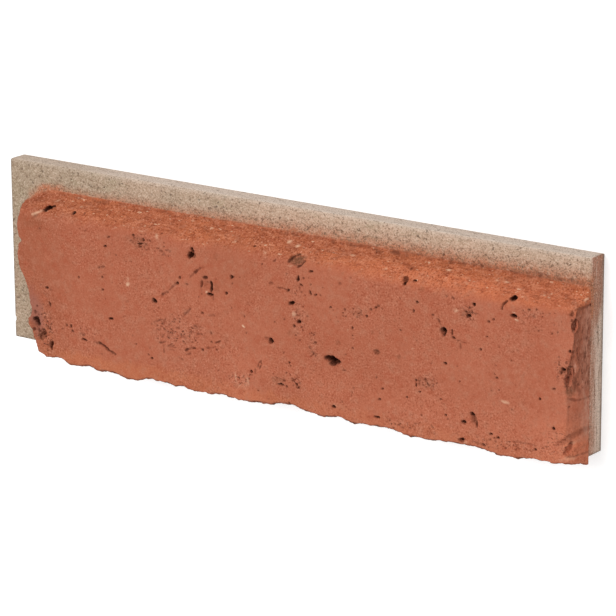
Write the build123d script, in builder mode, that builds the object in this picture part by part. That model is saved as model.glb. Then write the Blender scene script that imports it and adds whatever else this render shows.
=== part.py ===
import os
from math import cos, pi, sin

from build123d import *

# Concrete brick slip, cast in one piece: a thin mortar-grey plate, and the face of one
# hand-moulded brick that stands out of it. The grey margin along the top and the left end
# is the finished joint between this brick and its neighbours.
#
# Frame: the slip lies on its flat back, so z = 0 is the back and +Z points out of the
# brick face. +X runs along the brick and +Y runs up it, as it is laid. The origin is the
# middle of the back. Lengths are in millimetres.

# Plate
plate_length = 260.0
plate_height = 71.0
plate_thickness = 8.0
plate_arris = 0.7           # worn width of the plate's front edges
plate_corner = 1.1          # worn radius of its top left corner

# Brick face
relief = 9.2                # how far the brick stands out of the plate
top_joint = 9.2             # grey joint above the brick, at its foot
left_joint = 8.6            # grey joint beside its left end
bottom_overhang = 4.3       # the brick hangs this far below the plate's bottom edge
weathering = 8.0            # the top of the brick slopes back by this much over its relief
side_draw = 2.6             # the other sides lean and round in by this much

# How far the brick's edges wander from straight lines
left_wander = 13.0
bottom_wander = 3.4
right_wander = 4.2
top_wander = 2.2

# Brick face surface
face_wander = 1.0           # height between its hollows and its swells
face_rise = 1.2             # the sides are cast this much higher than the face

# Blow holes and scars, each the size of the largest of its kind
hole_length = 6.8
hole_depth = 2.2
chip_length = 12.0          # broken corners and edges of the brick
chip_depth = 3.0
nick_length = 3.2           # nicks in the plate's left edge
nick_depth = 1.0

plate_left = -plate_length / 2
plate_right = plate_length / 2
plate_top = plate_height / 2
plate_bottom = -plate_height / 2

brick_left = plate_left + left_joint
brick_right = plate_right
brick_top = plate_top - top_joint
brick_bottom = plate_bottom - bottom_overhang
brick_length = brick_right - brick_left
brick_height = brick_top - brick_bottom
face_level = plate_thickness + relief
clear_level = face_level + relief

# Each edge of the brick is a curve through a few places. The first share says how far along
# the edge a place lies, the second how far the edge has wandered inwards there.
left_end_shares = (
    (0.94, 0.04), (0.90, 0.0), (0.86, 0.04), (0.80, 0.17), (0.765, 0.13), (0.73, 0.0),
    (0.675, 0.0), (0.62, 0.06), (0.535, 0.25), (0.465, 0.37), (0.377, 0.44), (0.31, 0.48),
    (0.245, 0.36), (0.185, 0.48), (0.12, 0.61), (0.06, 0.70),
)
bottom_edge_shares = (
    (0.055, 0.50), (0.078, 0.66), (0.094, 0.30), (0.12, 0.20), (0.14, 0.36), (0.152, 0.12),
    (0.172, 0.27), (0.20, 0.10), (0.232, 0.0), (0.258, 0.48), (0.275, 0.30), (0.29, 0.40),
    (0.304, 0.17), (0.316, 0.42), (0.33, 0.20), (0.36, 0.16), (0.392, 0.42), (0.42, 0.20),
    (0.455, 0.42), (0.48, 0.50), (0.498, 0.84), (0.516, 1.0), (0.53, 0.84), (0.555, 0.48),
    (0.582, 0.46), (0.60, 0.66), (0.62, 0.42), (0.68, 0.70), (0.712, 0.40), (0.752, 0.30),
    (0.80, 0.56), (0.84, 0.56), (0.885, 0.26), (0.925, 0.58), (0.97, 0.66),
)
right_end_shares = (
    (0.09, 0.82), (0.18, 1.05), (0.30, 0.92), (0.41, 0.86), (0.50, 1.0), (0.59, 1.0),
    (0.675, 0.78), (0.76, 0.48), (0.84, 0.32), (0.90, 0.44), (0.945, 0.24),
)
top_edge_shares = (
    (0.95, 0.78), (0.90, 0.45), (0.80, 0.20), (0.66, 0.10), (0.50, 0.05), (0.36, 0.18),
    (0.20, 0.28), (0.10, 0.26), (0.04, 0.42),
)
# Where the four edges meet: shares of the wander along the brick and across it.
corner_shares = {
    "top_left": (0.14, 1.0),
    "bottom_left": (0.86, 0.66),
    "bottom_right": (0.85, 0.95),
    "top_right": (0.10, 1.0),
}

# The brick is cast in levels. Each row is the share of the relief, then how much of their
# draw the left, bottom, right and top sides have taken at that level, and last how much of
# their wander the ends and bottom show there, and the top edge.
level_shares = (
    (0.0, 0.10, 0.16, 0.0, 0.0, 0.30, 0.30),
    (0.06, 0.10, 0.10, 0.0, 0.14, 0.45, 0.70),
    (0.15, 0.12, 0.05, 0.03, 0.28, 0.60, 1.0),
    (0.35, 0.16, 0.0, 0.08, 0.44, 0.80, 0.80),
    (0.54, 0.22, 0.0, 0.25, 0.60, 0.90, 0.50),
    (0.70, 0.30, 0.05, 0.50, 0.78, 1.0, 0.20),
    (0.82, 0.45, 0.15, 0.85, 0.98, 1.0, -0.30),
    (1.0, 1.30, 0.85, 1.30, 1.65, 1.0, -0.30),
)

# The face swells and sinks a little, as hand-thrown clay does. Each row is a place along
# the brick, then the heights from its bottom edge to its top, as shares of the wander.
face_rows_shares = (
    (-0.02, (-0.60, -0.10, 0.10, 0.05, -0.45)),
    (0.10, (-0.40, 0.15, -0.15, 0.30, -0.30)),
    (0.24, (-0.15, 0.40, 0.05, -0.10, -0.25)),
    (0.37, (-0.35, -0.05, -0.45, 0.25, -0.20)),
    (0.50, (-0.10, 0.45, 0.05, 0.20, -0.35)),
    (0.62, (-0.40, 0.05, 0.30, -0.20, -0.25)),
    (0.75, (-0.20, -0.25, 0.10, 0.35, -0.30)),
    (0.88, (-0.45, 0.25, -0.20, 0.15, -0.40)),
    (1.02, (-0.60, -0.15, 0.10, -0.25, -0.60)),
)
face_across_shares = (-0.03, 0.22, 0.50, 0.76, 1.03)

# Blow holes: place along and across the brick, share of the relief that its surface has
# fallen back there, then length, width and depth as shares of the largest hole, and the
# turn of the long side in degrees.
hole_shares = (
    (0.594, 0.356, 0.0, 1.00, 0.50, 1.00, -4),
    (0.066, 0.916, 0.33, 1.00, 0.26, 0.80, 20),
    (0.112, 0.909, 0.30, 0.28, 0.18, 0.40, 12),
    (0.343, 0.812, 0.0, 0.56, 0.30, 0.75, 62),
    (0.369, 0.645, 0.0, 0.70, 0.62, 0.35, 60),
    (0.272, 0.498, 0.0, 0.34, 0.26, 0.60, -15),
    (0.484, 0.397, 0.0, 0.36, 0.34, 0.70, 25),
    (0.523, 0.639, 0.0, 0.38, 0.20, 0.60, 16),
    (0.530, 0.879, 0.04, 1.00, 0.52, 0.36, 14),
    (0.534, 0.782, 0.0, 0.40, 0.22, 0.55, 70),
    (0.536, 0.539, 0.0, 0.36, 0.24, 0.50, 20),
    (0.670, 0.452, 0.0, 0.50, 0.36, 0.30, 30),
    (0.717, 0.877, 0.04, 0.42, 0.34, 0.60, 72),
    (0.738, 0.326, 0.0, 0.44, 0.15, 0.50, 86),
    (0.672, 0.085, 0.0, 0.48, 0.17, 0.45, 4),
    (0.506, 0.158, 0.0, 0.60, 0.17, 0.45, 6),
    (0.784, 0.645, 0.0, 0.48, 0.38, 0.85, 80),
    (0.799, 0.633, 0.0, 0.36, 0.15, 0.50, 80),
    (0.825, 0.752, 0.0, 0.34, 0.26, 0.45, 20),
    (0.895, 0.886, 0.08, 0.54, 0.27, 0.75, 10),
    (0.898, 0.799, 0.0, 0.50, 0.22, 0.60, -8),
    (0.835, 0.189, 0.0, 0.74, 0.36, 0.55, -62),
    (0.819, 0.160, 0.0, 0.34, 0.20, 0.60, 12),
    (0.814, 0.058, 0.06, 0.42, 0.26, 0.60, 18),
    (0.979, 0.554, 0.06, 0.36, 0.30, 0.60, 45),
    (0.189, 0.341, 0.0, 0.36, 0.18, 0.45, 12),
    (0.137, 0.181, 0.0, 0.50, 0.18, 0.40, -5),
    (0.179, 0.161, 0.0, 0.84, 0.20, 0.35, -18),
    (0.341, 0.254, 0.0, 0.64, 0.17, 0.35, 12),
    (0.250, 0.806, 0.0, 0.62, 0.46, 0.28, 20),
    (0.415, 0.722, 0.0, 0.28, 0.20, 0.50, 60),
    (0.834, 0.824, 0.0, 0.24, 0.20, 0.45, 0),
    (0.963, 0.228, 0.0, 0.26, 0.22, 0.45, 30),
)

# Chips at the brick's edges: place along and across the brick, share of the relief that its
# surface has fallen back there, then length, width and depth as shares of the largest chip,
# the turn in degrees, and how far the chip faces down the brick and towards its right end.
chip_shares = (
    (0.038, 0.222, 0.10, 0.52, 0.34, 1.00, 72, 0, -38),
    (0.052, 0.160, 0.10, 0.50, 0.30, 0.62, 64, 18, -30),
    (0.070, 0.105, 0.10, 0.44, 0.17, 0.50, 84, 12, 0),
    (0.518, 0.040, 0.10, 1.00, 0.26, 0.55, 3, 40, 0),
    (0.986, 0.520, 0.12, 0.72, 0.24, 0.60, 84, 0, 30),
    (0.986, 0.130, 0.16, 0.62, 0.26, 0.50, 62, 14, 36),
    (0.994, 0.800, 0.14, 0.46, 0.20, 0.50, 80, 0, 34),
)

# Nicks in the plate's left edge: place down the plate, then size as a share of the largest.
nick_shares = ((0.90, 1.0), (0.86, 0.60), (0.58, 0.55))
nick_lean = -45.0           # the nicks face out past the left end

# Outlines of holes, as distances from the middle to their corners, and the rings that
# narrow each hole from above its mouth to its floor: share of its depth, share of its size.
hole_outlines_shares = (
    (1.0, 0.78, 0.94, 0.72, 1.04, 0.84, 0.98, 0.70),
    (0.92, 1.02, 0.70, 0.90, 0.82, 1.06, 0.74, 0.96),
    (1.04, 0.70, 0.86, 1.0, 0.76, 0.92, 0.72, 1.02),
)
hole_rings_shares = ((0.70, 1.12), (-0.60, 0.80), (-1.0, 0.42))


def along(share):
    """x of a place along the brick, from its left end."""
    return brick_left + share * brick_length


def across(share):
    """y of a place across the brick, from its bottom edge."""
    return brick_bottom + share * brick_height


def brick_edges(level):
    """The four edges of the brick's outline at one level, each a row of points."""
    left_lean, bottom_lean, right_lean, top_lean, wander, top_share = level[1:]
    left = brick_left + left_lean * side_draw
    right = brick_right
    bottom = brick_bottom + bottom_lean * side_draw
    top = brick_top - top_lean * weathering

    def left_at(fall):
        return left + fall * left_wander * wander

    def right_at(fall):
        return right - fall * right_wander * right_lean

    def bottom_at(rise):
        return bottom + rise * bottom_wander * wander

    def top_at(fall):
        return top - fall * top_wander * top_share

    def height_at(share):
        return bottom + share * (top - bottom)

    def length_at(share):
        return left + share * (right - left)

    run, fall = corner_shares["top_left"]
    top_left = (left_at(run), top_at(fall))
    run, rise = corner_shares["bottom_left"]
    bottom_left = (left_at(run), bottom_at(rise))
    run, rise = corner_shares["bottom_right"]
    bottom_right = (right_at(run), bottom_at(rise))
    run, fall = corner_shares["top_right"]
    top_right = (right_at(run), top_at(fall))

    left_points = [(left_at(fall), height_at(share)) for share, fall in left_end_shares]
    bottom_points = [(length_at(share), bottom_at(rise)) for share, rise in bottom_edge_shares]
    right_points = [(right_at(fall), height_at(share)) for share, fall in right_end_shares]
    top_points = [(length_at(share), top_at(fall)) for share, fall in top_edge_shares]
    return (
        (top_left, *left_points, bottom_left),
        (bottom_left, *bottom_points, bottom_right),
        (bottom_right, *right_points, top_right),
        (top_right, *top_points, top_left),
    )


def hole_corners(index, length, width):
    """Corners of an irregular hole of the given length and width."""
    outline = hole_outlines_shares[index % len(hole_outlines_shares)]
    corners = []
    for number, share in enumerate(outline):
        angle = 2 * pi * number / len(outline)
        corners.append((share * length / 2 * cos(angle), share * width / 2 * sin(angle)))
    return corners


def surface_place(place, rise, drop):
    """A place on the brick's surface, where it has fallen back by a share of the relief."""
    return (along(place), across(rise), face_level - drop * relief)


# Every hole, chip and nick: where it lies, then its length, width and depth
scars = []
for place, rise, drop, length, width, depth, turn in hole_shares:
    spot = Location(surface_place(place, rise, drop), (0, 0, turn))
    scars.append((spot, length * hole_length, width * hole_length, depth * hole_depth))
for place, rise, drop, length, width, depth, turn, down, aside in chip_shares:
    spot = Location(surface_place(place, rise, drop), (down, aside, turn))
    scars.append((spot, length * chip_length, width * chip_length, depth * chip_depth))
for place, size in nick_shares:
    spot = Location((plate_left, plate_top - place * plate_height, plate_thickness), (0, nick_lean, 0))
    scars.append((spot, size * nick_length, size * nick_length, size * nick_depth))

scar_cuts = []
for index, (spot, length, width, depth) in enumerate(scars):
    with BuildPart() as scar_cut:
        for sink, spread in hole_rings_shares:
            with BuildSketch(Plane(spot).offset(sink * depth)):
                with BuildLine():
                    Polyline(*hole_corners(index, length * spread, width * spread), close=True)
                make_face()
        loft(ruled=True)
    scar_cuts.append(scar_cut.part)

# Everything above the uneven face, to be taken off the brick
with BuildPart() as above_face:
    for place, heights in face_rows_shares:
        with BuildSketch(Plane.YZ.offset(along(place))):
            with BuildLine():
                row = [
                    (across(share), face_level + height * face_wander / 2)
                    for share, height in zip(face_across_shares, heights)
                ]
                Spline(*row)
                Polyline(row[-1], (row[-1][0], clear_level), (row[0][0], clear_level), row[0])
            make_face()
    loft()

# Brick: levels joined by straight walls, then the uneven face
with BuildPart() as brick:
    for level in level_shares:
        height = plate_thickness + level[0] * (relief + face_rise)
        with BuildSketch(Plane.XY.offset(height)):
            with BuildLine():
                for edge_points in brick_edges(level):
                    Spline(*edge_points)
            make_face()
    loft(ruled=True)
    add(above_face.part, mode=Mode.SUBTRACT, clean=False)

with BuildPart() as brick_slip:
    # Plate with its worn corner
    with BuildSketch(Plane.XY) as plate_outline:
        Rectangle(plate_length, plate_height)
        worn_corner = plate_outline.vertices().group_by(Axis.Y)[-1].sort_by(Axis.X)[0]
        fillet(worn_corner, radius=plate_corner)
    extrude(amount=plate_thickness)
    front_edges = brick_slip.faces().sort_by(Axis.Z)[-1].edges()
    worn_edges = front_edges.filter_by(lambda edge: edge.center().Y > plate_bottom + plate_arris)
    chamfer(worn_edges, length=plate_arris)

    add(brick.part)
    add(scar_cuts, mode=Mode.SUBTRACT)

brick_slip.part.label = "brick_slip"
os.makedirs("parts", exist_ok=True)
export_step(brick_slip.part, "parts/brick_slip.step")
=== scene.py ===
import itertools
import math

import bpy
import numpy as np
from bpy.props import FloatProperty, FloatVectorProperty, IntProperty, PointerProperty
from mathutils import Matrix, Vector


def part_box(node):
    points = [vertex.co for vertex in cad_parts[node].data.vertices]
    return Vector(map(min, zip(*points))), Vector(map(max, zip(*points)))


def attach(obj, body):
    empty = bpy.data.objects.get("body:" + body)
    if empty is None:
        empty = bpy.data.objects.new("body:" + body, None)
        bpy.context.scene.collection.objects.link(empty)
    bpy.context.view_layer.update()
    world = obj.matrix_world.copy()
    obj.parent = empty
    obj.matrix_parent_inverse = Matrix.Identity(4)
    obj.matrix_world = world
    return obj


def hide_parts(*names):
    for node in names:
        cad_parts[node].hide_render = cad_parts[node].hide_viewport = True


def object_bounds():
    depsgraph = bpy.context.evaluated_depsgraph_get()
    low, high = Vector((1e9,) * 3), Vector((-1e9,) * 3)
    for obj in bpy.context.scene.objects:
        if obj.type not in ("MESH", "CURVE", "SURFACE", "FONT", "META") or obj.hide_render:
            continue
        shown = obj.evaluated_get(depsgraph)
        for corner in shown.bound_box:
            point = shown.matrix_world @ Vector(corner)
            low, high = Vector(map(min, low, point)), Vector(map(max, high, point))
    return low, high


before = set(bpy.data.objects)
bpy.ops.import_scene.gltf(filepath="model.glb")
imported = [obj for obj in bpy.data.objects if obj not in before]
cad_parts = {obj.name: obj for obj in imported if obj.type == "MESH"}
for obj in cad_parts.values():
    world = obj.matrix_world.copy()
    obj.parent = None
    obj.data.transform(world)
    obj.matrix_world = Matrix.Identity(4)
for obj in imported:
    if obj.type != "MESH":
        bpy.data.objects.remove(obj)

bl_info = {
    "name": "Cast brick slip",
    "version": (1, 0, 0),
    "blender": (4, 5, 0),
    "location": "View3D > Sidebar > Brick slip",
    "description": "Dresses the cast brick slip: weathered red face, grey joint, stage",
    "category": "Object",
}

MM = 0.001
CAD_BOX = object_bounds()
LOW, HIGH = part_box("brick_slip")

# The slip's own levels and edges, in millimetres, as the solid has them
PLATE_FRONT = 8.0
LEFT_END = LOW[0] / MM
RIGHT_END = HIGH[0] / MM
PLATE_TOP = HIGH[1] / MM
PLATE_BOTTOM = -PLATE_TOP
TOP_JOINT = 9.2
BRICK_TOP = PLATE_TOP - TOP_JOINT

# Blow holes: x, y, length, width and depth in millimetres, the turn in degrees, and how
# dark the painted shade in the hole is
BLOW_HOLES = (
    (27.9, -15.7, 7, 2.9, 1.8, -4, 1), (27.8, -17.1, 3.2, 1.8, 1.4, 0, 0.8),
    (-106.6, 20, 2.4, 1.9, 2, 22, 1), (-104.4, 20.9, 2.8, 0.8, 0.8, 14, 0.75),
    (-93.2, 20.4, 1.7, 1.1, 1.3, 15, 0.95), (-35.2, 15.5, 1.7, 2.3, 1.5, 20, 1),
    (-36.4, 13.2, 1.8, 2.6, 1.6, -8, 1), (-34.2, 13.4, 2, 1.8, 0.5, 30, 0.4),
    (-29.3, 5.8, 2.8, 1.3, 1, 12, 0.8), (-26.6, 2.9, 1.5, 4.7, 1.5, -4, 1),
    (-27.4, -0.3, 3.3, 1.2, 1.5, 2, 1), (-31.1, 3, 1.2, 3.4, 0.8, -10, 0.6),
    (-53.2, -6.8, 2.3, 1.6, 1.9, -12, 1), (0.4, -13.2, 2.3, 2.2, 2, 20, 1),
    (-1.4, -12.6, 2.2, 1.4, 0.5, 0, 0.25), (10, 2.5, 3, 1.4, 1.6, 20, 1),
    (8.5, 7, 1.7, 1.2, 1, 10, 0.8), (0.9, 8.5, 2.2, 1.2, 0.4, 0, 0.3),
    (12.7, 12, 0.9, 2.8, 1.1, -20, 0.9), (14.2, 9.8, 1.8, 0.9, 1, -15, 0.8),
    (15.3, 12.6, 1.2, 0.8, 0.6, 0, 0.5), (18.6, 15.6, 2, 0.8, 1, 8, 0.85),
    (18.4, 7.6, 0.9, 1.7, 0.9, 20, 0.8), (20.5, 7.1, 1.5, 0.7, 0.8, 25, 0.7),
    (13.3, -4, 2.1, 1.4, 1.6, 28, 0.95), (11.2, -5.9, 1.1, 1.1, 0.9, 0, 0.8),
    (27.2, 3.7, 1.4, 0.9, 0.9, 0, 0.8), (33.3, 3.8, 1.2, 0.8, 0.5, 0, 0.5),
    (36.8, -2.4, 0.9, 1, 1, 0, 0.9), (42.9, 2.9, 1.1, 0.9, 1.1, 0, 0.95),
    (44.7, 5.7, 1.3, 0.9, 0.6, 30, 0.5), (46.9, 6.7, 0.9, 0.9, 0.8, 0, 0.7),
    (48, 7.5, 1.8, 0.8, 0.5, 30, 0.45), (31.3, 13.1, 1.3, 1.1, 0.4, 0, 0.3),
    (58.7, 17.2, 1.3, 1.3, 1.8, 0, 1), (58.9, 18.7, 2.7, 2.3, 1, 10, 0.62),
    (62.8, 18.8, 1.7, 0.7, 1.2, 5, 0.9), (64.5, 11.6, 1.4, 0.9, 1, 0, 0.9),
    (63.1, 8.3, 0.7, 1.3, 0.9, 0, 0.8), (71.2, 8.1, 1.4, 0.9, 0.6, 0, 0.5),
    (57.5, 0.2, 1, 0.7, 0.8, 0, 0.7), (60.2, -24.1, 0.9, 0.9, 1.1, 0, 0.95),
    (64.1, -17.1, 0.7, 1.1, 1, 0, 0.9), (64.1, -18.9, 0.7, 1.6, 1, 0, 0.9),
    (65.7, -21.2, 1.4, 0.6, 0.9, 8, 0.8), (49.7, -22.8, 1.5, 0.6, 0.7, 8, 0.6),
    (48.4, -27, 1.5, 0.8, 0.8, 20, 0.65), (28.3, -33.3, 1.9, 1.1, 1.4, -5, 1),
    (47.4, -33.8, 3.2, 0.9, 1.1, 0, 0.85), (12.1, -27.6, 1.2, 1, 1.1, 0, 0.95),
    (12.9, -28.9, 1.3, 1, 1.1, 0, 0.95), (4.8, -29, 3, 0.8, 1.2, 5, 0.95),
    (7.6, -29.4, 1, 0.8, 1, 0, 0.9), (6.5, -27.3, 1.6, 0.8, 0.6, 0, 0.5),
    (8.9, -20, 1, 0.8, 1, 0, 0.9), (-8.4, -26.5, 1.3, 1.1, 1.3, 0, 1),
    (75.7, 3.2, 2.7, 2.4, 2, 4, 1), (75.9, 1.7, 1.2, 1.3, 1.6, 0, 1),
    (79.2, 3, 0.8, 2.3, 1.2, -6, 0.9), (80, 1.2, 1.9, 0.8, 1, -12, 0.85),
    (88.4, 14.7, 1.4, 1.2, 1.4, 0, 1), (86.2, 10.2, 2.4, 1.5, 0.9, 10, 0.72),
    (85, 11.5, 1, 1.2, 0.7, 0, 0.55), (87.6, 11.8, 0.8, 0.7, 0.7, 0, 0.6),
    (103.5, 18.75, 3.5, 1.6, 1.8, 16, 1), (104.4, 13, 3.3, 1.2, 1.7, -8, 1),
    (110.6, 16.2, 1.3, 0.6, 0.8, 5, 0.7), (113.5, 16.8, 0.6, 1.2, 0.8, -20, 0.7),
    (96.4, 10.6, 1.1, 0.8, 0.7, 0, 0.55), (94.5, 9.5, 1.2, 0.9, 0.7, 0, 0.6),
    (94, 4, 1, 0.7, 0.8, 0, 0.75), (91.2, -1.1, 1.1, 0.8, 0.9, 0, 0.8),
    (76.5, -8.7, 1.4, 1, 1.4, 0, 1), (97.8, -10.3, 1.2, 0.6, 0.8, 0, 0.75),
    (115.5, -14.8, 1.1, 1, 1.2, 0, 1), (120.9, -24.6, 1.3, 1.2, 1.4, 0, 1),
    (121, -10.3, 1.7, 0.7, 0.7, 5, 0.55), (126.8, 4, 1.2, 1, 1.2, 0, 0.9),
    (124.4, -2.8, 1.7, 1.5, 1.4, 20, 1), (123.4, -4.2, 1, 1.2, 0.8, 0, 0.6),
    (87.9, -25.3, 2.3, 1.6, 1.4, -10, 0.95), (89.6, -28.3, 1, 4, 1.6, 12, 1),
    (84.3, -28.8, 2.3, 1.1, 1.5, 8, 1), (76.7, -27.7, 1.4, 0.7, 1, 0, 0.9),
    (74.6, -22.2, 1, 0.6, 0.8, 0, 0.7), (95.7, -31.2, 1.6, 1, 1.2, 10, 0.9),
    (98.6, -32, 1.4, 0.8, 1.3, 18, 0.95), (83.4, -35.6, 2.9, 1.2, 1.3, 25, 0.9),
    (92.7, -35.7, 2, 0.9, 1, -28, 0.8), (113.8, -33.5, 1.1, 0.8, 1.1, 0, 0.9),
    (-58, 15.8, 1.3, 1.1, 1.4, 0, 1), (-62.7, 16.9, 1.2, 0.9, 0.8, 0, 0.7),
    (-59.8, 14, 2.8, 0.7, 0.8, 8, 0.7), (-59.6, 12.7, 1.6, 0.6, 0.7, 12, 0.65),
    (-49.5, 12.8, 1.5, 1.2, 0.4, 0, 0.35), (-76.3, 10.6, 1.6, 0.8, 1.1, 5, 0.95),
    (-74.5, 14.4, 1.5, 0.8, 0.6, 25, 0.55), (-89.3, -3.5, 0.9, 1.1, 0.9, 0, 0.8),
    (-77.8, -1.6, 1.1, 0.9, 0.7, 0, 0.6), (-77.8, -6.4, 1.2, 0.9, 0.7, 0, 0.6),
    (-105.3, -10.1, 1.9, 0.9, 1.1, 5, 0.85), (-104.2, -16.4, 2.6, 1, 0.9, -65, 0.75),
    (-74, -17.1, 2.3, 1, 1.5, 8, 1), (-87.2, -27.5, 3.2, 0.9, 1, -5, 0.85),
    (-54.7, -29.4, 1.3, 0.9, 1.2, 0, 0.95), (-30.9, -22, 1.3, 1, 1.3, 0, 1),
    (-42.4, 1.6, 1.7, 1.1, 1.3, 25, 0.95), (-41.1, 4, 1.3, 1.1, 0.9, 40, 0.7),
    (-37.8, 2, 1.6, 0.8, 0.5, 0, 0.45), (-31, -8, 1.4, 0.8, 0.7, 0, 0.6),
    (-17, 8.1, 1.3, 1.6, 1.4, -15, 1), (-19.6, 1.4, 1.5, 1.2, 1.3, 0, 0.95),
    (-95.8, -23.3, 1.2, 1.2, 0.8, 0, 0.6), (-93.7, -23.2, 1.3, 1.4, 1, 0, 0.75),
    (-92.9, -25.1, 1.6, 0.8, 0.9, -10, 0.7), (-8, 20.4, 1.2, 0.6, 0.8, 5, 0.8),
    (-27, -15, 1.3, 1.4, 0.5, 0, 0.42), (-26.8, -18.3, 1, 0.9, 0.6, 0, 0.55),
    (2.3, 16.9, 1.5, 0.9, 0.5, 20, 0.42), (33.2, -18.8, 1.9, 0.7, 0.5, -5, 0.42),
    (-112.2, -24.7, 1.4, 4.6, 1.2, 16, 0.85), (-111.9, -20.8, 1.6, 2, 0.7, 20, 0.45),
    (-110.2, -27.8, 1.2, 2.4, 0.6, 30, 0.6), (-113, -28, 1.8, 1.2, 0.8, 10, 0.6),
    (-104.5, -32.6, 1.2, 3.6, 0.9, 4, 0.58), (-107, -29.6, 0.8, 2.6, 0.6, 25, 0.50),
    (127.3, 14.9, 0.9, 1.3, 0.3, -10, 0.65), (125.6, -8.9, 1.1, 0.8, 0.3, 0, 0.35),
    (79.7, 15.6, 1.4, 0.7, 0.5, -20, 0.5), (76.9, 15.7, 0.9, 0.7, 0.5, 0, 0.45),
    (-120.2, -0.4, 0.8, 1.2, 0.6, 0, 0.7),
)

# Shallow dips: x, y, length, width, depth, turn, and how brown their bottom is
DIPS = (
    (12, 18.4, 7.2, 3.7, 0.8, 8, 0.85), (47.2, -9.6, 3.6, 2.5, 0.6, 0, 0.55),
    (56.6, -10, 2, 2, 0.4, 0, 0.3), (-28.6, 2.6, 5, 5.6, 0.5, 0, 0),
    (-35.6, 14, 4.6, 5.4, 0.4, 0, 0.15), (-106.2, 19.8, 9, 3.8, 0.6, 26, 0),
    (104.3, 13.6, 4.4, 2.6, 0.4, -12, 0), (-60, 14.8, 9, 5.2, 0.3, 0, 0.3),
    (3.6, -27.6, 6, 3, 0.4, 0, 0.35), (68.5, -17.6, 9, 4.6, 0.35, -8, 0.15),
    (88.6, -27, 3.2, 5.4, 0.5, 12, 0.25), (85.8, 11, 4.4, 3.4, 0.4, 0, 0.25),
    (30.6, -9, 2.4, 2.1, 0.35, 0, 0.3), (14, 8.6, 12, 3, 0.3, -55, 0),
    (45.4, -2.6, 1.9, 1.9, 0.3, 0, 0.25), (66.4, 16.6, 2.8, 2.4, 0.3, 0, 0.25),
    (-66, -9.2, 2, 1.2, 0.3, 30, 0.35), (9.4, -9, 3.4, 3, 0.3, 20, 0.2),
    (-24, 2.6, 3.4, 4, 0.2, 0, 0.2), (-24, 14.6, 2.6, 3.4, 0.25, 20, 0.2),
    (-110, 17.6, 4, 1.6, 0.5, 25, 0.5), (127.3, 17, 2, 2.6, 0.6, -18, 0.5),
    (38.6, 3.4, 3, 3.6, 0.25, 0, 0.2), (124.4, -3.6, 3.8, 3.6, 0.4, 0, 0.35),
    (126.9, -11, 3.2, 3.8, 0.5, 0, 0.60), (-109.6, -30, 3.2, 4.8, 0.5, -20, 0.5),
)

# Swellings: x, y, length, width, height, turn
SWELLINGS = (
    (-13, -32.5, 13, 8, 0.6, 6), (-11.8, -9.8, 2.2, 1, 0.35, -20),
    (11, -1.4, 2.4, 2.2, 0.3, 0), (101.2, -18.4, 4.6, 1.4, 0.25, -8),
    (-65.6, -2.4, 2.4, 2.2, 0.3, 20), (-107.8, 18.8, 5, 1, 0.4, 26),
    (105.7, 11.9, 2.4, 0.8, 0.35, -10), (104.4, 14.3, 2.2, 0.7, 0.3, 0),
)

# Pale scuffs and sand grains: x, y, length, width, strength, turn
PALE_MARKS = (
    (-65.6, -2.5, 2.3, 1.5, 0.8, 25), (-65.4, -0.2, 0.8, 2, 0.45, 0),
    (-11.8, -9.8, 1.8, 0.8, 1, -30), (11, -1.4, 2.2, 2, 0.5, 0),
    (62.7, -5.8, 1.1, 1, 0.55, 0), (81, 11.3, 3.4, 0.9, 0.7, 4),
    (101.2, -18.4, 4.4, 1.1, 0.6, -6), (105.7, 11.9, 2.2, 0.7, 0.9, -12),
    (104.6, 14.2, 1.8, 0.6, 0.6, 0), (-109.6, 18.6, 4.4, 1.2, 0.70, 24),
    (-104, 22.9, 2.4, 0.6, 0.5, 24), (-15.5, -29.5, 0.9, 4, 0.35, 10),
    (-9.8, -30.5, 1, 4.6, 0.4, 12), (-13, -33, 4.6, 1.6, 0.35, 8),
    (4.6, 23.2, 1.6, 1, 1, 0), (9.1, 22.4, 1.2, 0.9, 1, 0),
    (33, 22.6, 2.6, 0.6, 0.5, 0), (73.4, 23.1, 1.9, 0.5, 1, 4),
    (93.5, 22.6, 1, 0.5, 0.8, 0), (-30.9, 22.9, 1.4, 1, 0.8, 0),
    (-40.6, 24, 1.6, 0.6, 0.5, 0), (-92, 22.4, 1.4, 0.6, 0.6, 10),
    (116, 21.4, 1.1, 0.5, 0.7, 10), (129.2, 21.4, 1, 1, 0.8, 20),
    (63.4, 19.2, 0.9, 0.6, 1, 0), (52, -27.5, 1, 1, 0.3, 0),
    (-28.9, 0.4, 1, 0.9, 0.8, 0), (-51.6, 17.6, 1.4, 1.2, 0.5, 0),
    (10, 16.3, 2.4, 0.6, 0.4, 12), (35, -3.4, 1, 0.8, 0.25, 0),
    (-34, 24.8, 0.8, 0.5, 0.5, 0), (49, 20.6, 1.2, 0.6, 0.5, 0),
    (29, -32.6, 2.4, 0.7, 0.3, -8), (85, -36.2, 2.4, 0.6, 0.4, 16),
    (-51.9, 18.1, 1.2, 1, 0.6, 0), (-17.1, 20.7, 1.2, 0.8, 0.6, 0),
    (97.4, 22.6, 1.9, 0.4, 0.8, 0), (114.2, 21.1, 0.9, 0.5, 0.8, 0),
    (116.6, 20.7, 0.8, 0.5, 0.8, 0), (-2.6, 18.9, 1.2, 0.8, 0.5, 0),
    (128, -29, 2.2, 1.2, 0.22, 30), (126.6, -34.6, 5.4, 2, 0.28, 15),
)

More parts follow.
